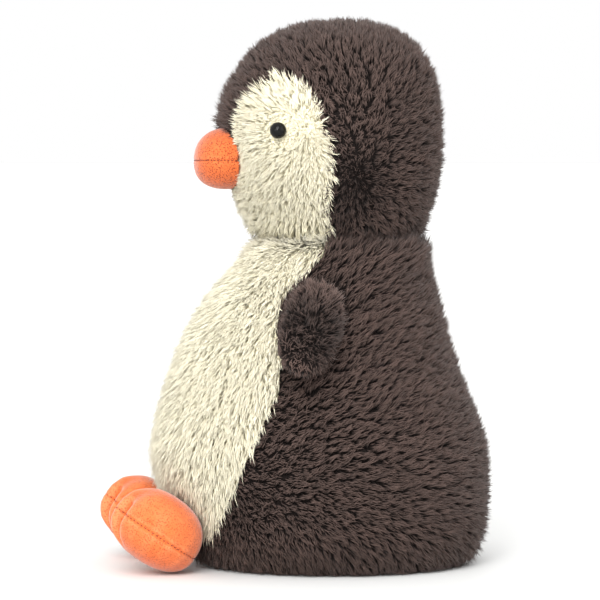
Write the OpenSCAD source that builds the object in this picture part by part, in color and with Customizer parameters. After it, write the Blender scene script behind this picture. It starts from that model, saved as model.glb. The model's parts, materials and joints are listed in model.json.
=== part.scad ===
/* [Body] */
// Height of the stuffed body, from the floor to the neck seam
body_h = 133.5; // [125:0.5:135]
// Depth of the body at its fullest, from belly to rump
body_d = 135; // [128:1:138]
// Width of the body at its fullest
body_w = 114; // [108:1:120]
// Radius that rounds the body into its flat base
base_r = 18; // [14:1:20]

/* [Head] */
// Depth of the head, from forehead to nape
head_d = 88; // [84:1:92]
// Width of the head across the cheeks
head_w = 90; // [86:1:96]
// Height of the whole head form, part of which the neck cuts off
head_h = 95; // [93:1:98]
// How far the head's middle stands behind the origin
head_y = 16.5; // [14:0.5:18]
// Height of the head's middle
head_z = 178; // [177:0.5:180]

/* [Face] */
// Width of the beak where it is sewn on
beak_w = 38; // [28:1:42]
// Height of the beak where it is sewn on
beak_h = 26; // [22:1:28]
// How far the beak stands out from the face
beak_l = 14; // [9:0.5:15]
// Height of the beak's side seam
beak_z = 170.5; // [168:0.5:173]
// Diameter of an eye bead
eye_d = 6.8; // [5:0.2:8]
// Height of the eyes
eye_z = 182; // [178:0.5:185]
// Angle of each eye from the middle of the face
eye_a = 55; // [42:1:58]

/* [Flippers] */
// Length of a flipper
flipper_l = 46; // [38:1:50]
// Width of a flipper
flipper_w = 20.5; // [18:1:28]
// Thickness of a flipper
flipper_t = 12; // [9:0.5:13]
// Angle at which a flipper stands off the vertical
flipper_out = 42; // [36:1:55]
// Angle by which a flipper sweeps forwards
flipper_sweep = 26; // [15:1:36]

/* [Feet] */
// Length of a foot, from heel to middle toe
foot_l = 40; // [36:1:41]
// Width of a foot across its toes
foot_w = 37; // [32:1:39]
// Height of the upper above the foot's seam
foot_up = 17; // [13:0.5:18]
// Depth of the sole below the foot's seam
foot_down = 13; // [10:0.5:14]
// Angle by which the toes tip up
foot_tilt = 34; // [28:1:38]
// Distance of each foot from the middle
foot_x = 29; // [27:0.5:33]

/* [Cloth] */
// Thickness of the plush cloth
cloth_t = 2; // [1.5:0.1:2.5]
// Thickness of the suede cloth on the beak and feet
suede_t = 1; // [0.8:0.1:1.4]

/* [Hidden] */

charcoal = [0.29, 0.27, 0.25];
cream = [0.96, 0.94, 0.84];
orange = [0.98, 0.51, 0.27];
fibre = [0.97, 0.97, 0.97];
canvas = [0.86, 0.82, 0.74];
bead_white = [0.9, 0.9, 0.88];
bead_black = [0.03, 0.03, 0.03];

gap = 0.5;          // between a filling and the cloth around it
edge = 0.012;       // share of a panel's width left open along each seam
ring_n = 28;        // points round a ring of the body or the head
pole = 84;          // where the rings of a lump stop short of its ends, in degrees
round_power = 2.4;  // roundness of the beak, flippers and feet: 2 is an ellipsoid, more is boxier
crown_power = 2.55; // roundness of the head above its middle
cheek_power = 2.3;  // roundness of the head below its middle
head_lean = 4.5;    // how far the crown and the neck stand behind the head's middle

// Body outline: height as a share of body_h, then front and back reach as shares of body_d
// and half width as a share of body_w.
body_rows = [
    [0.00, 0.300, 0.578, 0.480],
    [0.15, 0.342, 0.585, 0.500],
    [0.31, 0.405, 0.589, 0.500],
    [0.40, 0.405, 0.578, 0.495],
    [0.51, 0.380, 0.533, 0.480],
    [0.66, 0.330, 0.476, 0.445],
    [0.78, 0.270, 0.445, 0.410],
    [0.89, 0.190, 0.417, 0.375],
    [1.00, 0.107, 0.393, 0.325]
];
// Seam between belly and side panels: height as a share of body_h, angle from the front.
belly_seam = [
    [0.00, 10], [0.10, 26], [0.22, 44], [0.31, 53.5], [0.43, 61], [0.61, 69],
    [0.72, 64], [0.84, 60], [0.90, 63], [1.00, 76]
];
// Face seams: height above the head's middle as a share of half head_h, angle from the front.
face_front_seam = [
    [-0.80, 0], [-0.27, 0], [-0.12, 0], [0.00, 11],
    [0.15, 14], [0.36, 20], [0.50, 28], [0.59, 45]
];
face_back_seam = [[-0.80, 76], [-0.48, 80], [-0.21, 83], [0.06, 81], [0.36, 74], [0.53, 62], [0.59, 45]];

neck_y = 19.3;      // the head turns and nods about this point
neck_z = 137;
neck_r = 20;        // ball of filling packed into the neck
ball_gap = 0.7;     // between the ball and its two sockets
socket_lip = 5;     // width of the sockets' flat rims
neck_bevel = 5.9;   // slope of the two sides of the neck crease
face_low = -0.79;   // where the head's cloth ends at the neck, as a share of half head_h
face_high = 0.59;   // top of the face patch
strip_low = 0.0;    // lower end of the gusset, behind the beak

bag_top = 27;
bag_t = 0.8;
base_t = 2;
washer_d = 7;
washer_t = 1.2;
shank_d = 2;
eye_well = 9;       // depth of the room for the shank and its washer in the head's filling

flipper_root = [49.5, 5.5, 114];   // hinge line of the left flipper, just off the body
flipper_hinge = 5;                 // from the flipper's rounded end to its hinge line
foot_centre = [foot_x, -60.4, 16.9];
toe_half = 40;                     // angle on each side that the toes take up
toe_notch = 0.16;                  // depth of the folds between toes

// ---- curves ----

function segment(rows, t, i = 0) = i >= len(rows) - 2 || t <= rows[i + 1][0] ? i : segment(rows, t, i + 1);
function slope(rows, i, k) =
    let (a = max(i - 1, 0), b = min(i + 1, len(rows) - 1))
    (rows[b][k] - rows[a][k]) / (rows[b][0] - rows[a][0]);
// Smooth curve through column k of the rows, at t
function curve(rows, t, k) =
    let (i = segment(rows, t), p = rows[i], q = rows[i + 1], h = q[0] - p[0], s = (t - p[0]) / h)
    p[k] * (2 * s^3 - 3 * s^2 + 1) + q[k] * (3 * s^2 - 2 * s^3)
    + slope(rows, i, k) * h * (s^3 - 2 * s^2 + s) + slope(rows, i + 1, k) * h * (s^3 - s^2);
function mix(a, b, s) = a + (b - a) * s;
function smooth(a, b, t) = let (s = min(max((t - a) / (b - a), 0), 1)) s * s * (3 - 2 * s);
function unit(v) = v / norm(v);
function signed_pow(x, p) = sign(x) * abs(x)^p;
function steps(n, from = 0, to = 1) = [for (i = [0:n]) mix(from, to, i / n)];

// Places a left-hand piece on the left (side 1) or mirrors it to the right (side -1)
module on_side(side) {
    mirror([side > 0 ? 0 : 1, 0, 0]) children();
}

// ---- solids from rows of points ----

module mesh(points, quads) {
    triangles = [for (q = quads) each [[q[0], q[1], q[2]], [q[0], q[2], q[3]]]];
    apart = function (i, j) points[i] != points[j];
    polyhedron(points, [for (t = triangles) if (apart(t[0], t[1]) && apart(t[1], t[2]) && apart(t[2], t[0])) t]);
}

// A sheet of cloth between an outer and an inner grid of points: rows run up, columns run to the left side
module sheet(outer, inner) {
    nu = len(outer) - 1;
    nv = len(outer[0]) - 1;
    n = (nu + 1) * (nv + 1);
    at = function (i, j) i * (nv + 1) + j;
    mesh(
        [for (row = concat(outer, inner)) each row],
        concat(
            [for (i = [0:nu - 1], j = [0:nv - 1]) [at(i, j), at(i + 1, j), at(i + 1, j + 1), at(i, j + 1)]],
            [for (i = [0:nu - 1], j = [0:nv - 1])
                [n + at(i, j), n + at(i, j + 1), n + at(i + 1, j + 1), n + at(i + 1, j)]],
            [for (j = [0:nv - 1]) [at(0, j), at(0, j + 1), n + at(0, j + 1), n + at(0, j)]],
            [for (j = [0:nv - 1]) [at(nu, j), n + at(nu, j), n + at(nu, j + 1), at(nu, j + 1)]],
            [for (i = [0:nu - 1]) [at(i, 0), n + at(i, 0), n + at(i + 1, 0), at(i + 1, 0)]],
            [for (i = [0:nu - 1]) [at(i, nv), at(i + 1, nv), n + at(i + 1, nv), n + at(i, nv)]]
        )
    );
}

// A closed lump from rings of points, fanned to a point at each end
module lump(rings) {
    n = len(rings[0]);
    m = len(rings) - 1;
    ones = [for (p = rings[0]) 1];
    mesh(
        concat([for (ring = rings) each ring], [ones * rings[0] / n, ones * rings[m] / n]),
        concat(
            [for (k = [0:m - 1], j = [0:n - 1])
                [k * n + j, (k + 1) * n + j, (k + 1) * n + (j + 1) % n, k * n + (j + 1) % n]],
            [for (j = [0:n - 1]) [(m + 1) * n, j, (j + 1) % n, (m + 1) * n]],
            [for (j = [0:n - 1]) [(m + 1) * n + 1, m * n + (j + 1) % n, m * n + j, (m + 1) * n + 1]]
        )
    );
}

// ---- body ----

function base_tuck(z, d) =
    let (h = max(z, d + 0.5))
    h >= base_r ? 0 : base_r - d - sqrt((base_r - d)^2 - (base_r - h)^2);
function body_point(a, z, d) =
    let (
        t = z / body_h,
        inset = d + base_tuck(z, d),
        front = curve(body_rows, t, 1) * body_d - inset,
        back = curve(body_rows, t, 2) * body_d - inset,
        half = curve(body_rows, t, 3) * body_w - inset
    )
    [half * sin(a), (back - front) / 2 - (back + front) / 2 * cos(a), z];
function body_heights(n, d) = [for (s = steps(n)) mix(d + 0.5, body_h, s^1.3)];
function body_ring(z, d, n = ring_n) = [for (j = [0:n - 1]) body_point(360 * j / n, z, d)];
function neck_ring(r, z) =
    [for (j = [0:ring_n - 1]) let (a = 360 * j / ring_n) [r * sin(a), neck_y - r * cos(a), z]];
function seam_angle(z) = curve(belly_seam, z / body_h, 1);

function side_grid(d) = [
    for (z = body_heights(18, d))
        [for (s = steps(13, edge / 2, 1 - edge / 2)) body_point(mix(seam_angle(z), 180, s), z, d)]
];
function belly_grid(d) = [
    for (z = body_heights(18, d))
        [for (s = steps(12, edge - 1, 1 - edge)) body_point(seam_angle(z) * s, z, d)]
];

module belly_panel() {
    color(cream) sheet(belly_grid(0), belly_grid(cloth_t));
}

module side_panel(side) {
    color(charcoal) on_side(side) sheet(side_grid(0), side_grid(cloth_t));
}

module base_panel() {
    color(charcoal)
        linear_extrude(base_t)
            polygon([for (p = body_ring(0, 3 * gap, 2 * ring_n)) [p[0], p[1]]]);
}

// The bag's form, shrunk by d on all sides
module bag_form(d) {
    lump([for (z = steps(5, base_t + gap + d, bag_top - d)) body_ring(z, cloth_t + 2 * gap + d)]);
}

module pellet_bag() {
    color(canvas)
        difference() {
            bag_form(0);
            bag_form(bag_t);
        }
}

module pellets() {
    color(bead_white) bag_form(bag_t + gap);
}

// Half the opening of the neck crease at radius r
function crease(r) = r * tan(neck_bevel);
// Rings that go from the neck crease down (way -1) or up (way 1) into the ball's socket
function socket_rings(way) =
    let (socket = neck_r + ball_gap)
    [for (e = [8, 30, 52, 74, 86]) neck_ring(socket * cos(e), neck_z + way * socket * sin(e))];

module body_filling() {
    color(fibre)
        lump(concat(
            [for (z = steps(11, bag_top + gap, body_h - gap)) body_ring(z, cloth_t + gap)],
            [neck_ring(neck_r + socket_lip, neck_z - crease(neck_r + socket_lip))],
            socket_rings(-1)
        ));
}

module neck_filling() {
    color(fibre) translate([0, neck_y, neck_z]) sphere(r = neck_r);
}

// ---- head ----

// Roundness above (t over 0) or below the head's middle
function head_power(t) = t > 0 ? crown_power : cheek_power;
// The head's surface is placed by a direction from its middle: angle a round from the front, angle e up.
function head_at(dir, d) =
    let (
        p = 2 / head_power(dir[2]),
        rise = signed_pow(dir[2], p),
        flat = norm([dir[0], dir[1]]),
        ring = flat < 1e-9 ? 0 : flat^p / flat
    )
    [
        (head_w / 2 - d) * dir[0] * ring,
        head_y + head_lean * rise^2 + (head_d / 2 - d) * dir[1] * ring,
        head_z + (head_h / 2 - d) * rise
    ];
function direction(a, e) = [cos(e) * sin(a), -cos(e) * cos(a), sin(e)];
// Upward angle of the direction that meets height share t
function up_angle(t) = asin(signed_pow(t, head_power(t) / 2));
function over_angle(b, o) = [sin(b), -cos(b) * cos(o), cos(b) * sin(o)];

function face_front(t) = max(0, curve(face_front_seam, t, 1));
function face_back(t) = curve(face_back_seam, t, 1);
top_dir = direction(face_front(face_high), up_angle(face_high));
gusset_b0 = asin(top_dir[0]);
gusset_o0 = atan2(top_dir[2], -top_dir[1]);
gusset_b1 = 20;
nape = -up_angle(face_low);

// Edge of the gusset behind the face patch, s from 0 at the face's top to 1 at the neck
function gusset_edge(s) =
    let (b = mix(gusset_b0, gusset_b1, s), o1 = 180 + asin(sin(nape) / cos(b)))
    over_angle(b, mix(gusset_o0, o1, s));
function gusset_middle(s) = over_angle(0, mix(up_angle(face_high), 180 + nape, s));

function face_grid(d) = [
    for (t = steps(14, face_low, face_high))
        [for (s = steps(9, edge, t == face_high ? edge : 1 - edge))
            let (a = t == face_high ? face_back(t) : mix(face_front(t), face_back(t), s))
            head_at(direction(a, up_angle(t)), d)]
];
function gusset_grid(d) = concat(
    [for (t = steps(4, strip_low, face_high - 0.05))
        [for (s = steps(8, edge - 1, 1 - edge)) head_at(direction(face_front(t) * s, up_angle(t)), d)]],
    [for (t = steps(14))
        [for (s = steps(8, edge - 1, 1 - edge))
            let (e = gusset_edge(t), side = [sign(s) * e[0], e[1], e[2]])
            head_at(unit(mix(gusset_middle(t), side, abs(s))), d)]]
);
// Angle round and angle up of a direction
function round_up(dir) = [atan2(dir[0], -dir[1]), asin(dir[2])];
function hood_dir(t, s) =
    let (
        back = face_back(mix(face_high, face_low, t)),
        face_side = direction(back, up_angle(mix(face_high, face_low, t))),
        gusset_side = gusset_edge(t),
        turned = mix(round_up(face_side), round_up(gusset_side), s),
        blend = smooth(0.35, 0.6, t)
    )
    t == 0 ? face_side
        : unit(unit(mix(face_side, gusset_side, s)) * (1 - blend) + direction(turned[0], turned[1]) * blend);
function hood_grid(d) = [
    for (t = steps(15, 1, 0)) [for (s = steps(9, edge, 1 - edge)) head_at(hood_dir(t, s), d)]
];

module face(side) {
    color(cream)
        on_side(side)
            difference() {
                sheet(face_grid(0), face_grid(cloth_t));
                eye_place() cylinder(d = shank_d + 0.6, h = 20, center = true, $fn = 32);
            }
}

module hood(side) {
    color(charcoal) on_side(side) sheet(hood_grid(0), hood_grid(cloth_t));
}

module crown_gusset() {
    color(charcoal) sheet(gusset_grid(0), gusset_grid(cloth_t));
}

module head_filling() {
    socket = socket_rings(1);
    color(fibre)
        difference() {
            lump(concat(
                [for (k = [len(socket) - 1:-1:0]) socket[k]],
                [neck_ring(neck_r + socket_lip, neck_z + crease(neck_r + socket_lip))],
                [for (e = steps(14, up_angle(face_low) + 1.5, pole))
                    [for (j = [0:ring_n - 1]) head_at(direction(360 * j / ring_n, e), cloth_t + gap)]]
            ));
            for (side = [-1, 1])
                on_side(side)
                    eye_place()
                        translate([0, 0, -eye_well]) cylinder(d = washer_d + 1, h = eye_well, $fn = 48);
        }
}

// ---- beak ----

function face_y(x, z) =
    let (t = (z - head_z) / (head_h / 2), p = head_power(t), ring = (1 - abs(t)^p)^(1 / p))
    head_y + head_lean * t^2 - head_d / 2 * ring * sqrt(1 - (x / (head_w / 2) / ring)^2);
// Beak surface: angle a round its rim, angle e from the rim to the tip
function beak_point(a, e, d) =
    let (
        p = 2 / round_power,
        x = (beak_w / 2 - d) * cos(a) * cos(e)^p,
        z = beak_z + (beak_h / 2 - d) * sin(a) * cos(e)^p - 1.5 * sin(e),
        rim = face_y((beak_w / 2 - d) * cos(a), beak_z + (beak_h / 2 - d) * sin(a)) - 0.3,
        tip = face_y(0, beak_z) - beak_l + d
    )
    [x, mix(rim, tip, sin(e)^p), z];
function beak_grid(d, from) = [
    for (e = steps(8, 0, 90)) [for (a = steps(14, from + 1, from + 179)) beak_point(a, e, d)]
];

module beak_upper() {
    color(orange) sheet(beak_grid(0, 0), beak_grid(suede_t, 0));
}

module beak_lower() {
    color(orange) sheet(beak_grid(0, 180), beak_grid(suede_t, 180));
}

// The filling's back, pressed against the face: s from 0 in the middle to 1 at the rim
function beak_back(a, s, d) =
    let (x = (beak_w / 2 - d) * cos(a) * s, z = beak_z + (beak_h / 2 - d) * sin(a) * s)
    [x, face_y(x, z) - gap, z];

module beak_filling() {
    d = suede_t + gap;
    angles = [0:15:345];
    color(fibre)
        lump(concat(
            [for (s = [0.05, 0.35, 0.7]) [for (a = angles) beak_back(a, s, d)]],
            [for (e = steps(8, 2, pole)) [for (a = angles) beak_point(a, e, d)]]
        ));
}

// ---- eyes ----

eye_t = (eye_z - head_z) / (head_h / 2);
eye_dir = direction(eye_a, up_angle(eye_t));
eye_spot = head_at(eye_dir, 0);
// Z points out of the left side of the face at the eye
module eye_place() {
    translate(eye_spot)
        rotate([90, 0, eye_a])
            children();
}

module eye(side) {
    color(bead_black)
        on_side(side) eye_place() {
            translate([0, 0, eye_d / 2 + 0.2]) sphere(d = eye_d);
            translate([0, 0, -cloth_t - 3]) cylinder(d = shank_d, h = cloth_t + 5, $fn = 32);
        }
}

module eye_washer(side) {
    color(fibre)
        on_side(side)
            eye_place() translate([0, 0, -cloth_t - 0.6 - washer_t])
                difference() {
                    cylinder(d = washer_d, h = washer_t, $fn = 48);
                    translate([0, 0, -1]) cylinder(d = shank_d + 0.1, h = washer_t + 2, $fn = 32);
                }
}

// ---- flippers ----

// Angle a round the flipper from its outer face, angle e along it from the root to the tip
function flipper_point(a, e, d) =
    let (p = 2 / round_power)
    [
        (flipper_t / 2 - d) * cos(a) * cos(e)^p,
        (flipper_w / 2 - d) * sin(a) * cos(e)^p,
        flipper_hinge - flipper_l / 2 - (flipper_l / 2 - d) * signed_pow(sin(e), p)
    ];
function flipper_grid(d, from) = [
    for (e = steps(12, 90, -90)) [for (a = steps(9, from + 2, from + 178)) flipper_point(a, e, d)]
];

module flipper_place(side) {
    on_side(side)
        translate(flipper_root)
            rotate([-flipper_sweep, 0, 0])
                rotate([0, -flipper_out, 0])
                    children();
}

module flipper_outer(side) {
    color(charcoal) flipper_place(side) sheet(flipper_grid(0, -90), flipper_grid(cloth_t, -90));
}

module flipper_inner(side) {
    color(charcoal) flipper_place(side) sheet(flipper_grid(0, 90), flipper_grid(cloth_t, 90));
}

module flipper_filling(side) {
    d = cloth_t + gap;
    color(fibre)
        flipper_place(side)
            lump([for (e = steps(10, -pole, pole)) [for (a = [0:-22.5:-337.5]) flipper_point(a, e, d)]]);
}

// ---- feet ----

// Reach of the foot's rim at angle a from the middle toe, with two folds between three toes
function toe_reach(a, e) =
    let (b = a > 180 ? a - 360 : a)
    abs(b) < toe_half ? 1 - toe_notch * (1 - cos(360 * b / toe_half)) / 2 * cos(e) : 1;
function foot_point(a, e, d) =
    let (p = 2 / round_power, r = cos(e)^p * toe_reach(a, e), high = (e > 0 ? foot_up : foot_down) - d)
    [
        (foot_w / 2 - d) * sin(a) * r,
        -(foot_l / 2 - d) * cos(a) * r,
        high * signed_pow(sin(e), p)
    ];
foot_angles = concat(steps(9, -45, 45), steps(10, 58, 302));
function foot_ring(e, d) = [for (a = foot_angles) foot_point(a < 0 ? a + 360 : a, e, d)];

module foot_place(side) {
    on_side(side)
        translate(foot_centre)
            rotate([-foot_tilt, 0, 0])
                children();
}

// Rings from e degrees below to e degrees above the foot's seam
foot_low = [-pole, -72, -58, -42, -26, -12, -1];
foot_high = [for (k = [len(foot_low) - 1:-1:0]) -foot_low[k]];
function dropped(ring, z) = [for (p = ring) [p[0], p[1], z]];

module foot_upper(side) {
    color(orange)
        foot_place(side)
            difference() {
                lump([for (e = foot_high) foot_ring(e, 0)]);
                lump(concat(
                    [dropped(foot_ring(1, suede_t), -2)],
                    [for (e = foot_high) foot_ring(e, suede_t)]
                ));
            }
}

module foot_sole(side) {
    color(orange)
        foot_place(side)
            difference() {
                lump([for (e = foot_low) foot_ring(e, 0)]);
                lump(concat(
                    [for (e = foot_low) foot_ring(e, suede_t)],
                    [dropped(foot_ring(-1, suede_t), 2)]
                ));
            }
}

module foot_filling(side) {
    color(fibre)
        foot_place(side)
            lump([for (e = [-pole, -66, -46, -28, -10, 10, 28, 46, 66, pole]) foot_ring(e, suede_t + gap)]);
}

belly_panel();
side_panel(1);  // side_panel_left
side_panel(-1);  // side_panel_right
base_panel();
pellet_bag();
pellets();
body_filling();
neck_filling();
face(1);  // face_left
face(-1);  // face_right
crown_gusset();
hood(1);  // hood_left
hood(-1);  // hood_right
head_filling();
beak_upper();
beak_lower();
beak_filling();
eye(1);  // eye_left
eye(-1);  // eye_right
eye_washer(1);  // eye_washer_left
eye_washer(-1);  // eye_washer_right
flipper_outer(1);  // flipper_outer_left
flipper_inner(1);  // flipper_inner_left
flipper_filling(1);  // flipper_filling_left
flipper_outer(-1);  // flipper_outer_right
flipper_inner(-1);  // flipper_inner_right
flipper_filling(-1);  // flipper_filling_right
foot_upper(1);  // foot_upper_left
foot_sole(1);  // foot_sole_left
foot_filling(1);  // foot_filling_left
foot_upper(-1);  // foot_upper_right
foot_sole(-1);  // foot_sole_right
foot_filling(-1);  // foot_filling_right
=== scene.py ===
import json
import math

import bmesh
import bpy
import numpy as np
from bpy.props import FloatProperty, FloatVectorProperty, IntProperty, PointerProperty
from bpy.types import Operator, Panel, PropertyGroup
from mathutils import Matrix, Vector
from mathutils.bvhtree import BVHTree


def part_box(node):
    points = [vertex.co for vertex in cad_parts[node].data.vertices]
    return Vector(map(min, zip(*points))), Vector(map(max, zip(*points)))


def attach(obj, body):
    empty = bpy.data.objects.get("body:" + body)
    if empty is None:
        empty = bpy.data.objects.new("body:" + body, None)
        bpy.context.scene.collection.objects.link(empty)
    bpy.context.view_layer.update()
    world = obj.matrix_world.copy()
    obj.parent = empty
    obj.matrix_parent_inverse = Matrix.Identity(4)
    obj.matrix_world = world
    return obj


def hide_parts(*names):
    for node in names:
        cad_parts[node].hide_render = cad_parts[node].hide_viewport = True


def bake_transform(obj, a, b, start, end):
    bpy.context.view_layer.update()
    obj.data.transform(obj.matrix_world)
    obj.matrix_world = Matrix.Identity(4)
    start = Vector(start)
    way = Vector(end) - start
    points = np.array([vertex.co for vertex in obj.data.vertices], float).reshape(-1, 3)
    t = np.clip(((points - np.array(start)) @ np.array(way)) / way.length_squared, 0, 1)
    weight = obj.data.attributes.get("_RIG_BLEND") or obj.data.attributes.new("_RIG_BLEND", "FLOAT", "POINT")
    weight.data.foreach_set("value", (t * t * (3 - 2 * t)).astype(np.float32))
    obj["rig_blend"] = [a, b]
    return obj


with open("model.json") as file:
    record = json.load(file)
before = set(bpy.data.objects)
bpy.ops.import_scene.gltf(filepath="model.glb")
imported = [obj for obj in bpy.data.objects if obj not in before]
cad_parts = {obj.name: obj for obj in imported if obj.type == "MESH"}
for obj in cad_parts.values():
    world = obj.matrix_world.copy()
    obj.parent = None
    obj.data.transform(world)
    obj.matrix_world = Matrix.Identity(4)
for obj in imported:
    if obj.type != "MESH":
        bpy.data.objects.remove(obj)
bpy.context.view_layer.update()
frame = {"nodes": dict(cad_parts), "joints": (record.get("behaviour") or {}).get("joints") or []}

bl_info = {
    "name": "Plush penguin",
    "version": (1, 0, 0),
    "blender": (4, 5, 0),
    "location": "View3D > Sidebar > Penguin",
    "description": "Sews the soft looks of a plush penguin round its packed frame",
    "category": "Object",
}

MM = 0.001
SIDES = {"left": 1.0, "right": -1.0}
JOINT_PLACE = {j["name"]: Vector(j["pos_m"]) for j in frame["joints"]}
NECK = JOINT_PLACE["neck_turn"]

# Each pile piece, the panel that it grows on and its cloth
BODY_PANELS = {
    "belly_panel": "cream",
    "side_panel_left": "charcoal",
    "side_panel_right": "charcoal",
    "base_panel": "charcoal",
}
# The belly's point ends this high above the floor, where the side panels meet under it
BELLY_END = 15 * MM
HEAD_PANELS = {
    "face_left": "cream",
    "face_right": "cream",
    "crown_gusset": "charcoal",
    "hood_left": "charcoal",
    "hood_right": "charcoal",
}


# ---------------------------------------------------------------- settings


class PenguinPile(PropertyGroup):
    """Sizes of the plush's pile"""

    length: FloatProperty(
        name="Pile length", description="Length of a strand of the pile on the body",
        default=5.7 * MM, min=3 * MM, max=12 * MM, unit="LENGTH", precision=4,
    )
    strand: FloatProperty(
        name="Strand width", description="Width of one strand, which is a lock of many fibres",
        default=0.42 * MM, min=0.2 * MM, max=1.5 * MM, unit="LENGTH", precision=5,
    )
    lock: FloatProperty(
        name="Lock size", description="Distance between the tufts that strands lean together in",
        default=2.6 * MM, min=1 * MM, max=8 * MM, unit="LENGTH", precision=4,
    )
    density: FloatProperty(
        name="Strands", description="Strands on a square metre of plush",
        default=2.04e6, min=1e5, max=4e6,
    )
    most: IntProperty(
        name="Most strands", description="Most strands in one piece of pile", default=18500, min=1000,
    )
    seed: IntProperty(name="Seed", description="Start of the random numbers", default=11, min=0)


class PenguinPadding(PropertyGroup):
    """How the covers are stuffed"""

    voxel: FloatProperty(
        name="Cloth mesh", description="Mesh size of the simulated covers",
        default=4 * MM, min=2 * MM, max=8 * MM, unit="LENGTH", precision=4,
    )
    pressure: FloatProperty(
        name="Pressure", description="Pressure of the stuffing in the simulation",
        default=4.0, min=0.0, max=20.0,
    )
    swell: FloatProperty(
        name="Swell", description="The most that a cover may bulge or pucker",
        default=1.2 * MM, min=0.0, max=5 * MM, unit="LENGTH", precision=4,
    )
    steps: IntProperty(name="Steps", description="Frames of cloth simulation", default=20, min=2, max=60)


def colour(name, description, default):
    return FloatVectorProperty(
        name=name, description=description, default=default, size=3, subtype="COLOR", min=0.0, max=1.0,
    )


class PenguinColours(PropertyGroup):
    """Colours of the cloths and the eyes"""

    # The root colours are painted shade: darker for charcoal and yellower for cream deep in the pile, where
    # shade falls between the strands.
    charcoal_root_shade: colour("Charcoal root", "Dark plush deep in the pile", (0.0115, 0.007, 0.0058))
    charcoal_tip: colour("Charcoal tip", "Dark plush at the ends of the strands", (0.099, 0.063, 0.052))
    cream_root_shade: colour("Cream root", "Cream plush deep in the pile", (1.0, 0.90, 0.60))
    cream_tip: colour("Cream tip", "Cream plush at the ends of the strands", (1.0, 0.945, 0.75))
    orange: colour("Orange", "Suede of the beak and feet", (0.60, 0.125, 0.030))
    orange_light: colour("Orange nap", "Suede where the nap catches the light", (0.70, 0.21, 0.080))
    orange_dark: colour("Orange speck", "Fine specks in the suede", (0.20, 0.026, 0.006))
    thread: colour("Thread", "Sewing thread of the beak and feet", (0.20, 0.03, 0.01))
    bead: colour("Bead", "The eye beads", (0.003, 0.003, 0.003))
    washer: colour("Washer", "The hidden eye washers", (0.80, 0.80, 0.77))


class PenguinStage(PropertyGroup):
    """Camera, light and floor"""

    azimuth: FloatProperty(
        name="Camera round", description="Angle of the camera round from the toy's front",
        default=math.radians(82.5), subtype="ANGLE",
    )
    elevation: FloatProperty(
        name="Camera up", description="Angle of the camera above the floor",
        default=math.radians(2.5), subtype="ANGLE",
    )
    distance: FloatProperty(
        name="Camera distance", description="From the camera to its target",
        default=1.5, min=0.3, unit="LENGTH",
    )
    half_frame: FloatProperty(
        name="Half frame", description="Half of what the frame shows at the target",
        default=0.126, unit="LENGTH",
    )
    target: FloatVectorProperty(
        name="Target", description="What the camera looks at",
        default=(0.0, 0.0035, 0.111), subtype="XYZ", unit="LENGTH",
    )
    floor_radius: FloatProperty(
        name="Floor", description="Radius of the floor", default=30.0, min=1.0, unit="LENGTH",
    )
    sky: FloatProperty(
        name="Surround", description="Strength of the soft light all round", default=1.1, min=0.0,
    )
    lamp: FloatProperty(
        name="Lamp", description="Power of the small lamp that the eyes mirror", default=8.0, min=0.0,
    )
    sun: FloatProperty(
        name="Key light", description="Strength of the soft key light", default=2.5, min=0.0,
    )


def settings(kind):
    return getattr(bpy.context.scene, "penguin_" + kind)


# ---------------------------------------------------------------- mesh work


def points_of(mesh):
    flat = np.empty(len(mesh.vertices) * 3, np.float32)
    mesh.vertices.foreach_get("co", flat)
    return flat.reshape(-1, 3).astype(float)


def normals_of(mesh):
    flat = np.empty(len(mesh.vertices) * 3, np.float32)
    mesh.vertices.foreach_get("normal", flat)
    return flat.reshape(-1, 3).astype(float)


def move_points(mesh, points):
    mesh.vertices.foreach_set("co", points.astype(np.float32).ravel())
    mesh.update()


def unit(vectors):
    return vectors / np.maximum(np.linalg.norm(vectors, axis=1), 1e-9)[:, None]


def smoothstep(low, high, x):
    s = np.clip((x - low) / (high - low), 0.0, 1.0)
    return s * s * (3.0 - 2.0 * s)


def add_object(name, mesh):
    piece = bpy.data.objects.new(name, mesh)
    bpy.context.scene.collection.objects.link(piece)
    return piece


def settle(piece):
    """Turns a piece's modifiers into plain mesh."""
    bpy.context.view_layer.update()
    evaluated = piece.evaluated_get(bpy.context.evaluated_depsgraph_get())
    mesh = bpy.data.meshes.new_from_object(evaluated)
    old = piece.data
    piece.modifiers.clear()
    piece.data = mesh
    mesh.name = piece.name
    bpy.data.meshes.remove(old)
    return piece


def copy_of_nodes(name, nodes):
    """One new mesh object from copies of CAD nodes, with its doubles merged."""
    work = bmesh.new()
    for node in nodes:
        work.from_mesh(frame["nodes"][node].data)
    bmesh.ops.remove_doubles(work, verts=work.verts, dist=0.002 * MM)
    mesh = bpy.data.meshes.new(name)
    work.to_mesh(mesh)
    work.free()
    for attribute in list(mesh.attributes):
        if attribute.name.startswith("UV"):
            mesh.attributes.remove(attribute)
    mesh.materials.clear()
    return add_object(name, mesh)


def keep_outermost(piece):
    """Drops loose inner shells and keeps the biggest one."""
    work = bmesh.new()
    work.from_mesh(piece.data)
    unseen, shells = set(work.verts), []
    while unseen:
        shell, edge = set(), [unseen.pop()]
        while edge:
            vert = edge.pop()
            shell.add(vert)
            for link in vert.link_edges:
                other = link.other_vert(vert)
                if other in unseen:
                    unseen.discard(other)
                    edge.append(other)
        shells.append(shell)
    biggest = max(shells, key=len)
    bmesh.ops.delete(work, geom=[v for v in work.verts if v not in biggest], context="VERTS")
    work.to_mesh(piece.data)
    work.free()


def remesh(piece, voxel):
    """Gives a piece one even, closed skin."""
    modifier = piece.modifiers.new("even", "REMESH")
    modifier.mode = "VOXEL"
    modifier.voxel_size = voxel
    settle(piece)
    keep_outermost(piece)


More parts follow.
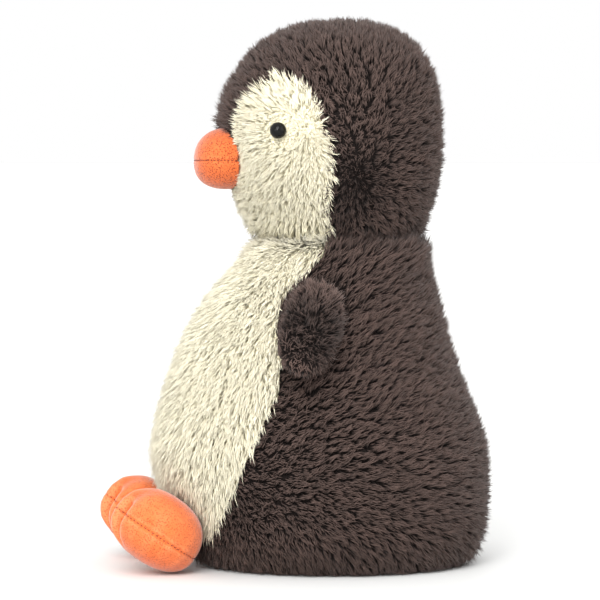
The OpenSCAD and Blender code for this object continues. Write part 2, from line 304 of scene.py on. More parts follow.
def relax(mesh, rounds, share=0.5):
    """Smooths a mesh by moving each point towards the mean of its neighbours."""
    edges = np.empty(len(mesh.edges) * 2, np.int32)
    mesh.edges.foreach_get("vertices", edges)
    a, b = edges[0::2], edges[1::2]
    count = np.bincount(edges, minlength=len(mesh.vertices))[:, None]
    points = points_of(mesh)
    for turn in range(rounds):
        # A step in and a slightly longer step out, so that the form doesn't shrink
        for step in (share, -share * 1.02):
            total = np.zeros_like(points)
            np.add.at(total, a, points[b])
            np.add.at(total, b, points[a])
            points += step * (total / count - points)
    move_points(mesh, points)


def subdivide(piece, levels):
    modifier = piece.modifiers.new("smooth", "SUBSURF")
    modifier.levels = levels
    modifier.render_levels = levels
    settle(piece)


def stuff(piece, pressure, swell):
    """Pumps a cover up with cloth simulation, with each point kept within swell of where it was cut."""
    before = points_of(piece.data)
    cloth = piece.modifiers.new("stuffing", "CLOTH")
    cloth.settings.quality = 6
    cloth.settings.mass = 0.3
    cloth.settings.tension_stiffness = 12
    cloth.settings.compression_stiffness = 12
    cloth.settings.bending_stiffness = 0.4
    cloth.settings.use_pressure = True
    cloth.settings.uniform_pressure_force = pressure
    cloth.settings.effector_weights.gravity = 0.0
    cloth.point_cache.frame_start = 1
    cloth.point_cache.frame_end = settings("padding").steps
    scene = bpy.context.scene
    for now in range(1, settings("padding").steps + 1):
        scene.frame_set(now)
    evaluated = piece.evaluated_get(bpy.context.evaluated_depsgraph_get())
    after = points_of(evaluated.data)
    piece.modifiers.clear()
    scene.frame_set(1)
    shift = after - before
    # The whole cover grows alike under pressure, so only the uneven part of the growth is kept
    normals = normals_of(piece.data)
    outward = (shift * normals).sum(1)
    shift -= normals * np.median(outward)
    far = np.linalg.norm(shift, axis=1)
    shift *= (np.minimum(far, swell) / np.maximum(far, 1e-9))[:, None]
    move_points(piece.data, before + shift)


def tree_of(node):
    mesh = frame["nodes"][node].data
    mesh.calc_loop_triangles()
    corners = [v.co for v in mesh.vertices]
    return BVHTree.FromPolygons(corners, [t.vertices for t in mesh.loop_triangles])


def distance_to(nodes, points):
    """Distance from each point to the nearest of some CAD nodes."""
    trees = [tree_of(node) for node in nodes]
    return np.array([min(tree.find_nearest(p)[3] for tree in trees) for p in map(Vector, points)])


def set_field(mesh, name, values):
    kind, key = ("FLOAT_VECTOR", "vector") if np.ndim(values) == 2 else ("FLOAT", "value")
    field = mesh.attributes.get(name) or mesh.attributes.new(name, kind, "POINT")
    field.data.foreach_set(key, np.asarray(values, np.float32).ravel())


# ---------------------------------------------------------------- shader groups and materials


class Wiring:
    """Adds nodes to a tree and links them by name."""

    def __init__(self, tree):
        self.tree = tree

    def add(self, kind, values=None, **options):
        node = self.tree.nodes.new(kind)
        for key, value in options.items():
            setattr(node, key, value)
        for key, value in (values or {}).items():
            self.feed(node.inputs[key], value)
        return node

    def feed(self, socket, value):
        if isinstance(value, bpy.types.NodeSocket):
            self.tree.links.new(value, socket)
        elif isinstance(value, bpy.types.Node):
            self.tree.links.new(value.outputs[0], socket)
        elif value is not None:
            socket.default_value = value

    def sum(self, kind, a, b=None, clamp=False):
        node = self.tree.nodes.new("ShaderNodeMath")
        node.operation = kind
        node.use_clamp = clamp
        self.feed(node.inputs[0], a)
        self.feed(node.inputs[1], b)
        return node.outputs[0]

    def vector(self, kind, a, b=None, scale=None):
        node = self.tree.nodes.new("ShaderNodeVectorMath")
        node.operation = kind
        self.feed(node.inputs[0], a)
        self.feed(node.inputs[1], b)
        if scale is not None:
            self.feed(node.inputs["Scale"], scale)
        return node.outputs["Vector"]

    def mix(self, factor, a, b):
        node = self.tree.nodes.new("ShaderNodeMix")
        node.data_type = "RGBA"
        self.feed(node.inputs["Factor"], factor)
        self.feed(node.inputs[6], a)
        self.feed(node.inputs[7], b)
        return node.outputs[2]

    def grain(self, place, size):
        """Height and specks of fine grain."""
        return self.add(
            "ShaderNodeGroup", {"Place": place, "Size": size}, node_tree=shared("Fine grain", grain_group),
        ).outputs

    def bump(self, shader, height, strength, distance):
        """Gives a shader a bump of a height."""
        node = self.add("ShaderNodeBump", {"Height": height, "Strength": strength, "Distance": distance})
        self.feed(shader.inputs["Normal"], node.outputs[0])

    def field(self, name, kind="FLOAT"):
        """A field stored on the geometry, in a geometry tree."""
        node = self.add("GeometryNodeInputNamedAttribute", {"Name": name}, data_type=kind)
        return node.outputs["Attribute"]

    def ramp(self, factor, low, high):
        """0 under low, 1 over high."""
        node = self.tree.nodes.new("ShaderNodeMapRange")
        node.interpolation_type = "SMOOTHSTEP"
        self.feed(node.inputs["Value"], factor)
        node.inputs["From Min"].default_value = low
        node.inputs["From Max"].default_value = high
        return node.outputs[0]


def rgba(value):
    return (value[0], value[1], value[2], 1.0)


def new_group(name, kind, sockets):
    """A node group with its input and output nodes; sockets are (name, in or out, type, default)."""
    tree = bpy.data.node_groups.new(name, kind)
    for label, way, socket, default in sockets:
        made = tree.interface.new_socket(name=label, in_out=way, socket_type="NodeSocket" + socket)
        if default is not None:
            made.default_value = default
    wiring = Wiring(tree)
    return tree, wiring, wiring.add("NodeGroupInput"), wiring.add("NodeGroupOutput")


def pile_tone_group():
    """Colour of a strand from its root, painted shade deep in the pile, to its tip, with its own random shade
    plus painted light and shade, and soft patches.
    """
    tree, w, given, out = new_group("Pile tone", "ShaderNodeTree", [
        ("Place", "INPUT", "Vector", None),
        ("Along", "INPUT", "Float", 0.0),
        ("Shade", "INPUT", "Float", 0.5),
        ("Root", "INPUT", "Color", (0.1, 0.1, 0.1, 1)),
        ("Tip", "INPUT", "Color", (0.5, 0.5, 0.5, 1)),
        ("Spread", "INPUT", "Float", 0.3),
        ("Colour", "OUTPUT", "Color", None),
    ])
    patches = w.add("ShaderNodeTexNoise", {"Vector": given.outputs["Place"], "Scale": 45.0, "Detail": 2.0})
    # The root colour is painted shade deep in the pile; it fades to the tip colour along the strand.
    rise = w.ramp(given.outputs["Along"], 0.1, 1.0)
    base = w.mix(rise, given.outputs["Root"], given.outputs["Tip"])
    # 1 + spread * (2 * (own shade mixed with patches) - 1)
    shade = w.sum("MULTIPLY", given.outputs["Shade"], 0.7)
    own = w.sum("ADD", shade, w.sum("MULTIPLY", patches.outputs[0], 0.3))
    centred = w.sum("SUBTRACT", w.sum("MULTIPLY", own, 2.0), 1.0)
    gain = w.sum("ADD", w.sum("MULTIPLY", centred, given.outputs["Spread"]), 1.0)
    shaded = w.vector("SCALE", base, scale=gain)
    w.feed(out.inputs["Colour"], shaded)
    return tree


def grain_group():
    """Fine uneven grain: a height for bump and a mask for specks."""
    tree, w, given, out = new_group("Fine grain", "ShaderNodeTree", [
        ("Place", "INPUT", "Vector", None),
        ("Size", "INPUT", "Float", 1500.0),
        ("Height", "OUTPUT", "Float", None),
        ("Specks", "OUTPUT", "Float", None),
    ])
    cells = w.add("ShaderNodeTexVoronoi", {"Vector": given.outputs["Place"], "Scale": given.outputs["Size"]})
    fine = w.sum("MULTIPLY", given.outputs["Size"], 1.3)
    noise = w.add("ShaderNodeTexNoise", {"Vector": given.outputs["Place"], "Scale": fine, "Detail": 3.0})
    round_cells = w.ramp(cells.outputs["Distance"], 0.75, 0.1)
    height = w.sum("ADD", w.sum("MULTIPLY", round_cells, 0.6), w.sum("MULTIPLY", noise.outputs[0], 0.4))
    w.feed(out.inputs["Height"], height)
    dots = w.ramp(cells.outputs["Distance"], 0.45, 0.2)
    blots = w.ramp(noise.outputs[0], 0.48, 0.6)
    w.feed(out.inputs["Specks"], w.sum("ADD", w.sum("MULTIPLY", dots, 0.9), w.sum("MULTIPLY", blots, 0.35)))
    return tree


def shared(name, make):
    return bpy.data.node_groups.get(name) or make()


def new_material(name, roughness, specular=0.5, sheen=0.0, sheen_roughness=0.5):
    material = bpy.data.materials.new(name)
    material.use_nodes = True
    tree = material.node_tree
    tree.nodes.clear()
    w = Wiring(tree)
    shader = w.add("ShaderNodeBsdfPrincipled", {
        "Roughness": roughness, "Specular IOR Level": specular, "Sheen Weight": sheen,
        "Sheen Roughness": sheen_roughness,
    })
    output = w.add("ShaderNodeOutputMaterial")
    tree.links.new(shader.outputs[0], output.inputs["Surface"])
    return material, w, shader


def pile_material(name, root, tip, spread, sheen, soft):
    """Plush pile; soft is how much each strand is shaded as a part of the cloth that it grows on."""
    material, w, shader = new_material(name, 0.65, 0.22, sheen, 0.45)
    place = w.add("ShaderNodeTexCoord").outputs["Object"]
    along = w.add("ShaderNodeAttribute", attribute_name="along").outputs["Fac"]
    shade = w.add("ShaderNodeAttribute", attribute_name="shade").outputs["Fac"]
    tone = w.add("ShaderNodeGroup", node_tree=shared("Pile tone", pile_tone_group))
    for key, value in (("Place", place), ("Along", along), ("Shade", shade), ("Root", rgba(root)),
                       ("Tip", rgba(tip)), ("Spread", spread)):
        w.feed(tone.inputs[key], value)
    # The base colour holds the painted shade of the roots and the painted light and shade of the tone field.
    w.feed(shader.inputs["Base Color"], tone.outputs["Colour"])
    w.feed(shader.inputs["Roughness"], w.sum("SUBTRACT", 0.78, w.sum("MULTIPLY", along, 0.22)))
    ground = w.add("ShaderNodeAttribute", attribute_name="ground").outputs["Vector"]
    ground = w.add("ShaderNodeVectorTransform", {0: ground}, vector_type="NORMAL", convert_from="OBJECT",
                   convert_to="WORLD").outputs[0]
    own = w.add("ShaderNodeNewGeometry").outputs["Normal"]
    facing = w.vector("ADD", w.vector("SCALE", ground, scale=soft), w.vector("SCALE", own, scale=1.0 - soft))
    w.feed(shader.inputs["Normal"], w.vector("NORMALIZE", facing))
    return material


def backing_material():
    """The plush's knitted backing, cream or charcoal by the panel that it belongs to."""
    colours = settings("colours")
    material, w, shader = new_material("plush backing", 0.9, 0.2)
    place = w.add("ShaderNodeTexCoord").outputs["Object"]
    cream = w.add("ShaderNodeAttribute", attribute_name="cream").outputs["Fac"]
    grain = w.grain(place, 900.0)
    # Painted shade: the charcoal backing is painted near black under the pile, and both backings are painted
    # darker in the low spots of their grain.
    painted_shade_black = rgba([0.5 * c for c in colours.charcoal_root_shade])
    dark = w.mix(grain["Height"], painted_shade_black, rgba(colours.charcoal_root_shade))
    light = w.mix(grain["Height"], rgba([0.9 * c for c in colours.cream_root_shade]), rgba(colours.cream_tip))
    w.feed(shader.inputs["Base Color"], w.mix(w.ramp(cream, 0.45, 0.55), dark, light))
    w.bump(shader, grain["Height"], 0.5, 0.4 * MM)
    return material


def suede_material():
    colours = settings("colours")
    material, w, shader = new_material("orange suede", 0.85, 0.25, 0.35, 0.4)
    place = w.add("ShaderNodeTexCoord").outputs["Object"]
    grain = w.grain(place, 1250.0)
    # The lighter nap colour is painted light: a painted sheen in soft patches and a painted highlight along
    # the ridges.
    ridge = w.add("ShaderNodeAttribute", attribute_name="ridge").outputs["Fac"]
    sheen_patches = w.add("ShaderNodeTexNoise", {"Vector": place, "Scale": 90.0, "Detail": 3.0})
    nap = w.sum("ADD", w.sum("MULTIPLY", sheen_patches.outputs[0], 0.5), w.sum("MULTIPLY", ridge, 0.75), clamp=True)
    base = w.mix(w.ramp(nap, 0.2, 0.95), rgba(colours.orange), rgba(colours.orange_light))
    strength = w.add("ShaderNodeAttribute", attribute_name="speck").outputs["Fac"]
    speck = w.sum("MULTIPLY", grain["Specks"], strength)
    w.feed(shader.inputs["Base Color"], w.mix(speck, base, rgba(colours.orange_dark)))
    w.bump(shader, grain["Height"], 0.6, 0.25 * MM)
    return material


def thread_material():
    colours = settings("colours")
    material, w, shader = new_material("sewing thread", 0.6, 0.4)
    place = w.add("ShaderNodeTexCoord").outputs["Object"]
    waves = {"Vector": place, "Scale": 900.0, "Distortion": 2.0}
    ply = w.add("ShaderNodeTexWave", waves, bands_direction="DIAGONAL")
    # The ply's grooves are painted darker, painted shade between the plies.
    dark = rgba([0.6 * c for c in colours.thread])
    w.feed(shader.inputs["Base Color"], w.mix(ply.outputs["Fac"], dark, rgba(colours.thread)))
    w.bump(shader, ply.outputs["Fac"], 0.4, 0.1 * MM)
    return material


def bead_material():
    colours = settings("colours")
    material, w, shader = new_material("eye bead", 0.05, 0.13)
    place = w.add("ShaderNodeTexCoord").outputs["Object"]
    haze = w.add("ShaderNodeTexNoise", {"Vector": place, "Scale": 500.0, "Detail": 4.0})
    pale = rgba([3 * c for c in colours.bead])
    w.feed(shader.inputs["Base Color"], w.mix(haze.outputs[0], rgba(colours.bead), pale))
    w.feed(shader.inputs["Roughness"], w.sum("MULTIPLY", w.ramp(haze.outputs[0], 0.3, 0.9), 0.16))
    return material


def washer_material():
    colours = settings("colours")
    material, w, shader = new_material("moulded washer", 0.5, 0.5)
    place = w.add("ShaderNodeTexCoord").outputs["Object"]
    grain = w.grain(place, 2500.0)
    # The low spots of the grain are painted a little darker, painted shade.
    dark = rgba([0.9 * c for c in colours.washer])
    w.feed(shader.inputs["Base Color"], w.mix(grain["Height"], dark, rgba(colours.washer)))
    w.bump(shader, grain["Height"], 0.2, 0.05 * MM)
    return material


def floor_material():
    material, w, shader = new_material("pale floor", 0.6, 0.3)
    place = w.add("ShaderNodeTexCoord").outputs["Object"]
    dust = w.add("ShaderNodeTexNoise", {"Vector": place, "Scale": 3.0, "Detail": 2.0})
    w.feed(shader.inputs["Base Color"], w.mix(dust.outputs[0], (0.70, 0.70, 0.69, 1), (0.72, 0.72, 0.71, 1)))
    return material


def material(name):
    """A material by its maker's name, made the first time that it is asked for."""
    colours = settings("colours")
    makers = {
        "charcoal pile": lambda: pile_material(
            "charcoal pile", colours.charcoal_root_shade, colours.charcoal_tip, 0.55, 0.12, 0.4),
        "cream pile": lambda: pile_material(
            "cream pile", colours.cream_root_shade, colours.cream_tip, 0.03, 0.1, 0.9),
        "plush backing": backing_material,
        "orange suede": suede_material,
        "sewing thread": thread_material,
        "eye bead": bead_material,
        "moulded washer": washer_material,
        "pale floor": floor_material,
    }
    return bpy.data.materials.get(name) or makers[name]()


# ---------------------------------------------------------------- pile


STRAND_ASPECT = 0.09  # width of a strand as a share of its length, before scaling
STRAND_RINGS = (0.0, 0.52)
STRAND_TAPER = (0.8, 1.0)


def strand_object(name, lean_start, lean_end, twist):
    """A strand of length 1 that rises from the cloth and leans over: three sides, a closed root and a tip."""
    def centre(share, steps=12):
        x = z = y = 0.0
        for k in range(steps):
            s = share * (k + 0.5) / steps
            lean = math.radians(lean_start + (lean_end - lean_start) * s)
            x += math.sin(lean) * share / steps
            z += math.cos(lean) * share / steps
            y += twist * s * share / steps
        return Vector((x, y, z))
    work = bmesh.new()
    along = work.verts.layers.float.new("along")
    rings = []
    for share, taper in zip(STRAND_RINGS, STRAND_TAPER):
        lean = math.radians(lean_start + (lean_end - lean_start) * share)
        across, up = Vector((0, 1, 0)), Vector((-math.cos(lean), 0, math.sin(lean)))
        ring = []
        for k in range(3):
            turn = math.radians(120 * k + 90)
            # Widths are scaled by the instance, so a strand is 1 wide here and as long as its scale
            vert = work.verts.new(centre(share) + 0.5 * taper * STRAND_ASPECT * (
                across * math.cos(turn) + up * math.sin(turn) * 0.4))
            vert[along] = share
            ring.append(vert)
        rings.append(ring)
    tip = work.verts.new(centre(1.0))
    tip[along] = 1.0
    for low, high in zip(rings, rings[1:]):
        for k in range(3):
            work.faces.new((low[k], low[(k + 1) % 3], high[(k + 1) % 3], high[k]))
    for k in range(3):
        work.faces.new((rings[-1][k], rings[-1][(k + 1) % 3], tip))
    work.faces.new((rings[0][2], rings[0][1], rings[0][0]))
    bmesh.ops.recalc_face_normals(work, faces=work.faces)
    mesh = bpy.data.meshes.new(name)
    work.to_mesh(mesh)
    work.free()
    mesh.shade_smooth()
    return bpy.data.objects.new(name, mesh)


def strand_kit():
    """A collection of a few strands that bend differently, for the pile to pick from."""
    kit = bpy.data.collections.get("strands")
    if kit is None:
        kit = bpy.data.collections.new("strands")
        bends = ((10, 58, 0.12), (16, 70, -0.16), (4, 50, 0.0), (20, 62, 0.22))
        for k, bend in enumerate(bends):
            kit.objects.link(strand_object(f"strand_{k}", *bend))
    return kit


def pile_tree():
    """Geometry nodes that plant strands on a cloth, comb them and gather them into locks."""
    tree = bpy.data.node_groups.new("Pile", "GeometryNodeTree")
    tree.is_modifier = True
    for label, way, socket in (
        ("Geometry", "OUTPUT", "Geometry"), ("Geometry", "INPUT", "Geometry"),
        ("Strands", "INPUT", "Collection"), ("Material", "INPUT", "Material"),
        ("Density", "INPUT", "Float"), ("Length", "INPUT", "Float"),
        ("Lean", "INPUT", "Float"), ("Width", "INPUT", "Float"), ("Lock size", "INPUT", "Float"),
        ("Lock pull", "INPUT", "Float"), ("Disorder", "INPUT", "Float"), ("Floor", "INPUT", "Float"),
        ("Seed", "INPUT", "Int"),
    ):
        tree.interface.new_socket(name=label, in_out=way, socket_type="NodeSocket" + socket)
    w = Wiring(tree)
    given, out = w.add("NodeGroupInput").outputs, w.add("NodeGroupOutput")

    grow = w.field("grow")
    comb = w.field("comb", "FLOAT_VECTOR")
    sown = w.add("GeometryNodeDistributePointsOnFaces", {
        "Mesh": given["Geometry"],
        "Density": w.sum("MULTIPLY", given["Density"], w.ramp(grow, 0.0, 0.4)),
        "Seed": given["Seed"],
    }, distribute_method="RANDOM")

    place = w.add("GeometryNodeInputPosition").outputs[0]
    locks = w.add("ShaderNodeTexVoronoi", {
        "Vector": place, "Scale": w.sum("DIVIDE", 1.0, given["Lock size"]), "Randomness": 1.0,
    })
    lock_chance = w.add("FunctionNodeSeparateColor", {"Color": locks.outputs["Color"]}).outputs
    pull = w.vector("SCALE", w.vector("SUBTRACT", locks.outputs["Position"], place),
                    scale=w.sum("DIVIDE", given["Lock pull"], given["Length"]))

    def chance(kind, low, high, offset):
        node = w.add("FunctionNodeRandomValue", data_type=kind)
        sockets = [s for s in node.inputs if s.enabled]
        w.feed(sockets[0], low)
        w.feed(sockets[1], high)
        w.feed(node.inputs["Seed"], w.sum("ADD", given["Seed"], offset))
        return next(s for s in node.outputs if s.enabled)

    stray = w.vector("SCALE", chance("FLOAT_VECTOR", (-1, -1, -1), (1, 1, 1), 1), scale=given["Disorder"])
    lock_stray = w.vector("SCALE", w.vector("SUBTRACT", locks.outputs["Color"], (0.5, 0.5, 0.5)),
                          scale=w.sum("MULTIPLY", given["Disorder"], 2.6))
    drift = w.add("ShaderNodeTexNoise", {"Vector": place, "Scale": 55.0, "Detail": 1.0})
    drift = w.vector("SCALE", w.vector("SUBTRACT", drift.outputs["Color"], (0.5, 0.5, 0.5)), scale=0.9)
    combed = w.vector("ADD", w.vector("ADD", comb, drift), w.vector("ADD", stray, lock_stray))
    facing = w.vector("ADD", combed, pull)
    normal = sown.outputs["Normal"]
    upright = w.vector("ADD", normal, w.vector("SCALE", pull, scale=0.35))
    turned = w.add("FunctionNodeAxesToRotation", {
        "Primary Axis": upright, "Secondary Axis": facing,
    }, primary_axis="Z", secondary_axis="X").outputs[0]

    share = w.sum("ADD", w.sum("MULTIPLY", lock_chance[2], 0.45), chance("FLOAT", 0.48, 1.0, 2))
    size = w.sum("MULTIPLY", w.sum("MULTIPLY", given["Length"], share),
                 w.sum("ADD", w.sum("MULTIPLY", grow, 0.85), 0.15))
    # Where the comb field fades, strands stand up
    sway = w.add("ShaderNodeVectorMath", {0: comb}, operation="LENGTH").outputs["Value"]
    lean = w.sum("MULTIPLY", given["Lean"], w.ramp(sway, -0.35, 1.0))
    lean = w.sum("MULTIPLY", lean, chance("FLOAT", 0.75, 1.2, 3))
    wide = w.sum("MULTIPLY", w.sum("DIVIDE", given["Width"], STRAND_ASPECT), chance("FLOAT", 0.7, 1.25, 4))
    scale = w.add("ShaderNodeCombineXYZ", {"X": w.sum("MULTIPLY", size, lean), "Y": wide, "Z": size})

    kit = w.add("GeometryNodeCollectionInfo", {
        "Collection": given["Strands"], "Separate Children": True, "Reset Children": True,
    })
    planted = w.add("GeometryNodeInstanceOnPoints", {
        "Points": sown.outputs["Points"], "Instance": kit.outputs[0], "Pick Instance": True,
        "Rotation": turned, "Scale": scale.outputs[0],
    })
    # The tone field is painted light and shade: painted shade round the flippers and under the cheeks, a
    # painted highlight on the flipper rims.
    tone = w.field("tone")
    own = w.sum("ADD", w.sum("MULTIPLY", lock_chance[0], 0.5), chance("FLOAT", 0.0, 0.5, 5))
    own = w.sum("ADD", own, tone)
    # Instances can't look their lock up after realizing, so each stores its shade first: its random shade
    # plus the tone field's painted light and shade
    marked = w.add("GeometryNodeStoreNamedAttribute", {
        "Geometry": planted.outputs[0], "Name": "shade", "Value": own,
    }, data_type="FLOAT", domain="INSTANCE")
    marked = w.add("GeometryNodeStoreNamedAttribute", {
        "Geometry": marked.outputs[0], "Name": "ground", "Value": normal,
    }, data_type="FLOAT_VECTOR", domain="INSTANCE")
    real = w.add("GeometryNodeRealizeInstances", {"Geometry": marked.outputs[0]})
    where = w.add("ShaderNodeSeparateXYZ", {"Vector": place}).outputs
    lifted = w.add("ShaderNodeCombineXYZ", {
        "X": where[0], "Y": where[1], "Z": w.sum("MAXIMUM", where[2], given["Floor"]),
    })
    laid = w.add("GeometryNodeSetPosition", {"Geometry": real.outputs[0], "Position": lifted.outputs[0]})
    dyed = w.add("GeometryNodeSetMaterial", {"Geometry": laid.outputs[0], "Material": given["Material"]})
    w.feed(out.inputs[0], dyed.outputs[0])
    return tree


def socket_key(tree, name):
    return next(s.identifier for s in tree.interface.items_tree if s.name == name and s.in_out == "INPUT")


def grow_pile(
    name, ground, cloth, seed_step, length=1.0, lean=1.0, density=1.0, width=1.0, pull=1.0, disorder=0.28,
):
    """Turns ground, a mesh object with the fields comb, grow and tone, into the plain mesh of its pile."""
    pile = settings("pile")
    tree = shared("Pile", pile_tree)
    modifier = ground.modifiers.new("pile", "NODES")
    modifier.node_group = tree
    wanted = {
        "Strands": strand_kit(), "Material": material(cloth + " pile"), "Density": pile.density * density,
        "Length": pile.length * length, "Lean": lean, "Width": pile.strand * width, "Lock size": pile.lock,
        "Lock pull": pull, "Disorder": disorder, "Floor": 0.25 * MM, "Seed": pile.seed + seed_step,
    }
    for key, value in wanted.items():
        modifier[socket_key(tree, key)] = value
    settle(ground)
    ground.name = name
    ground.data.name = name
    for field in ("comb", "grow", "tone", "cream"):
        if field in ground.data.attributes:
            ground.data.attributes.remove(ground.data.attributes[field])
    ground.data.shade_smooth()
    return ground


def part_of(cover, name, mine):
    """A copy of the faces of a cover whose points are mostly of one panel."""
    piece = cover.copy()
    piece.data = cover.data.copy()
    piece.name = name
    bpy.context.scene.collection.objects.link(piece)
    work = bmesh.new()
    work.from_mesh(piece.data)
    work.faces.ensure_lookup_table()
    doomed = [f for f in work.faces if not mine[f.index]]
    bmesh.ops.delete(work, geom=doomed, context="FACES")
    work.to_mesh(piece.data)
    work.free()
    return piece


def nearest_panel(cover, panels):
    """For each face of a cover, the index of the nearest panel."""
    trees = [tree_of(node) for node in panels]
    found = []
    for face in cover.data.polygons:
        found.append(min(range(len(trees)), key=lambda k: trees[k].find_nearest(face.center)[3]))
    return np.array(found)


# ---------------------------------------------------------------- covers


def make_cover(name, nodes, panels):
    """A stuffed cover: one even skin over the panels, swollen by simulation, with a field for its cloth."""
    padding = settings("padding")
    cover = copy_of_nodes(name, nodes)
    remesh(cover, padding.voxel)
    relax(cover.data, 6)
    stuff(cover, padding.pressure, padding.swell)
    subdivide(cover, 1)
    points = points_of(cover.data)
    points[:, 2] = np.maximum(points[:, 2], 1.3 * MM)
    round_neck(points)
    move_points(cover.data, points)
    belongs = nearest_panel(cover, panels)
    names = list(panels)
    if "face_left" in panels:
        inset_face(cover.data, belongs, names)
    if "belly_panel" in panels:
        for k, face in enumerate(cover.data.polygons):
            if names[belongs[k]] == "belly_panel" and face.center.z < BELLY_END:
                belongs[k] = names.index("side_panel_left" if face.center.x > 0 else "side_panel_right")
    cream = np.array([cloth == "cream" for cloth in panels.values()])[belongs]
    corner_total = np.zeros(len(points))
    corner_count = np.zeros(len(points))
    for face, light in zip(cover.data.polygons, cream):
        for k in face.vertices:
            corner_total[k] += light
            corner_count[k] += 1
    # Inside the neck the cloth in front is cream too
    neck = smoothstep(12 * MM, 8 * MM, np.abs(points[:, 2] - NECK.z))
    neck *= smoothstep(4 * MM, -2 * MM, points[:, 1])
    set_field(cover.data, "cream", np.maximum(corner_total / np.maximum(corner_count, 1), neck))
    cover.data.materials.append(material("plush backing"))
    cover.data.shade_smooth()
    return cover, belongs


def round_neck(points):
    """Fills the crease between body and head out a little, as the stuffing does."""
    out = points[:, :2] - np.array(NECK[:2])
    wide = np.linalg.norm(out, axis=1)
    level = (points[:, 2] - NECK.z) / (7 * MM)
    nape = smoothstep(-20 * MM, 15 * MM, out[:, 1])
    share = np.where(level > 0, 4.8 + 0.7 * nape, 0.4 + 1.8 * nape) * MM
    swell = share * np.exp(-level ** 2) * smoothstep(19 * MM, 28 * MM, wide)
    points[:, :2] += out / np.maximum(wide, MM)[:, None] * swell[:, None]


def inset_face(mesh, belongs, names):
    """Gives the face's upper edge to the dark panels round it, as the cream tufts hang out over the seam."""
    dark = [k for k, name in enumerate(names) if not name.startswith("face")]
    trees = {k: tree_of(names[k]) for k in dark}
    for k, face in enumerate(mesh.polygons):
        if names[belongs[k]].startswith("face"):
            away = {n: tree.find_nearest(face.center)[3] for n, tree in trees.items()}
            nearest = min(away, key=away.get)
            inset = (5.5 if names[nearest] == "crown_gusset" else 2.0) * MM
            inset *= float(smoothstep(168 * MM, 186 * MM, face.center.z))
            if away[nearest] < inset:
                belongs[k] = nearest


def tangent(vectors, normals):
    return vectors - normals * (vectors * normals).sum(1)[:, None]


def body_comb(points, normals, panel):
    """Way the body's pile lies: back and up on the sides and down at their hem, down and out on the belly."""
    side = np.sign(points[:, 0])
    way = np.zeros_like(points)
    if panel == "belly_panel":
        low = smoothstep(60 * MM, 25 * MM, points[:, 2])
        way[:, 0] = points[:, 0] / (50 * MM) * 0.75
        way[:, 1] = -0.15 + 0.5 * np.abs(points[:, 0]) / (50 * MM) * low
        way[:, 2] = -1.0
    else:
        way[:, 0] = -normals[:, 1] * side * smoothstep(0.0, 12 * MM, np.abs(points[:, 0]))
        way[:, 1] = np.abs(normals[:, 0])
        heights = np.array([3, 12, 28, 50, 80, 120]) * MM
        way[:, 2] = np.interp(points[:, 2], heights, [-1.8, -0.9, -0.15, 0.3, 0.6, 0.75])
    return unit(tangent(way, normals))


def head_comb(points, normals, panel):
    """Way the head's pile lies: out from behind the eye on the face, from behind the cheek on the hood."""
    side = np.sign(points[:, 0])
    face = panel.startswith("face")
    low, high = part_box("eye_left")
    eye = (low + high) / 2
    hub = np.array([38 * MM, eye.y + 10 * MM, eye.z - 4 * MM]) if face else np.array([44, 25, 160]) * MM
    mirrored = points.copy()
    mirrored[:, 0] = np.abs(mirrored[:, 0])
    way = (mirrored - hub) * np.array([0.45, 1.0, 1.0])
    way[:, 0] *= side
    if face:
        way[:, 2] -= 5 * MM
        # Round the beak the pile lies along its rim and away from it
        spot = beak_rim()[0]
        near = smoothstep(1.9, 1.1, beak_reach(points)) * (points[:, 1] < 0)
        out = unit(np.stack([points[:, 0] - spot.x, np.zeros(len(points)), points[:, 2] - spot.z], axis=1))
        inward = np.minimum((way * out).sum(1), 0.0)
        way -= out * (inward * near)[:, None]
        way += out * (near * 2 * MM)[:, None]
    way = tangent(way, normals)
    way = way / (np.linalg.norm(way, axis=1)[:, None] + (1.5 if face else 14) * MM) * 1.15
    if face:
        way *= 0.25 + 0.75 * around(mirrored, eye, 5 * MM, 9 * MM)[:, None]
        # Down the middle of the chin the two sides' strands meet and stand up
        chin = smoothstep(26 * MM, 8 * MM, mirrored[:, 0]) * (points[:, 1] < 0)
        way *= (1.0 - 0.75 * chin)[:, None]
    return way


def neck_rim(points):
    """0 inside the neck, 1 outside it and more at its crease, where the pile is left long."""
    wide = np.linalg.norm(points[:, :2] - np.array(NECK[:2]), axis=1)
    level = np.abs(points[:, 2] - NECK.z)
    outside = np.maximum(smoothstep(24 * MM, 28 * MM, wide), smoothstep(8 * MM, 12 * MM, level))
    return outside * (1.0 + 0.4 * smoothstep(10 * MM, 3 * MM, level))


def beak_rim():
    """Middle of the beak's rim, and half its width and height."""
    low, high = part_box("beak_lower")[0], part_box("beak_upper")[1]
    return (low + high) / 2, ((high.x - low.x) / 2, (high.z - low.z) / 2)


def beak_reach(points):
    """How far each point is from the middle of the beak, seen from the front; 1 is on its rim."""
    spot, half = beak_rim()
    return np.hypot((points[:, 0] - spot.x) / half[0], (points[:, 2] - spot.z) / half[1])


def around(points, spot, near, far):
    """0 within near of a spot, 1 beyond far."""
    return smoothstep(near, far, np.linalg.norm(points - np.array(spot), axis=1))


def banded(ground, faces, bands):
    """Splits some faces of a cover into bands by height, each with about the same area."""
    height = np.array([p.center.z for p in ground.data.polygons])
    area = np.array([p.area for p in ground.data.polygons]) * faces
    order = np.argsort(height)
    share = np.cumsum(area[order]) / area.sum()
    band = np.empty(len(height), int)
    band[order] = np.minimum((share * bands).astype(int), bands - 1)
    return [faces & (band == k) for k in range(bands)]


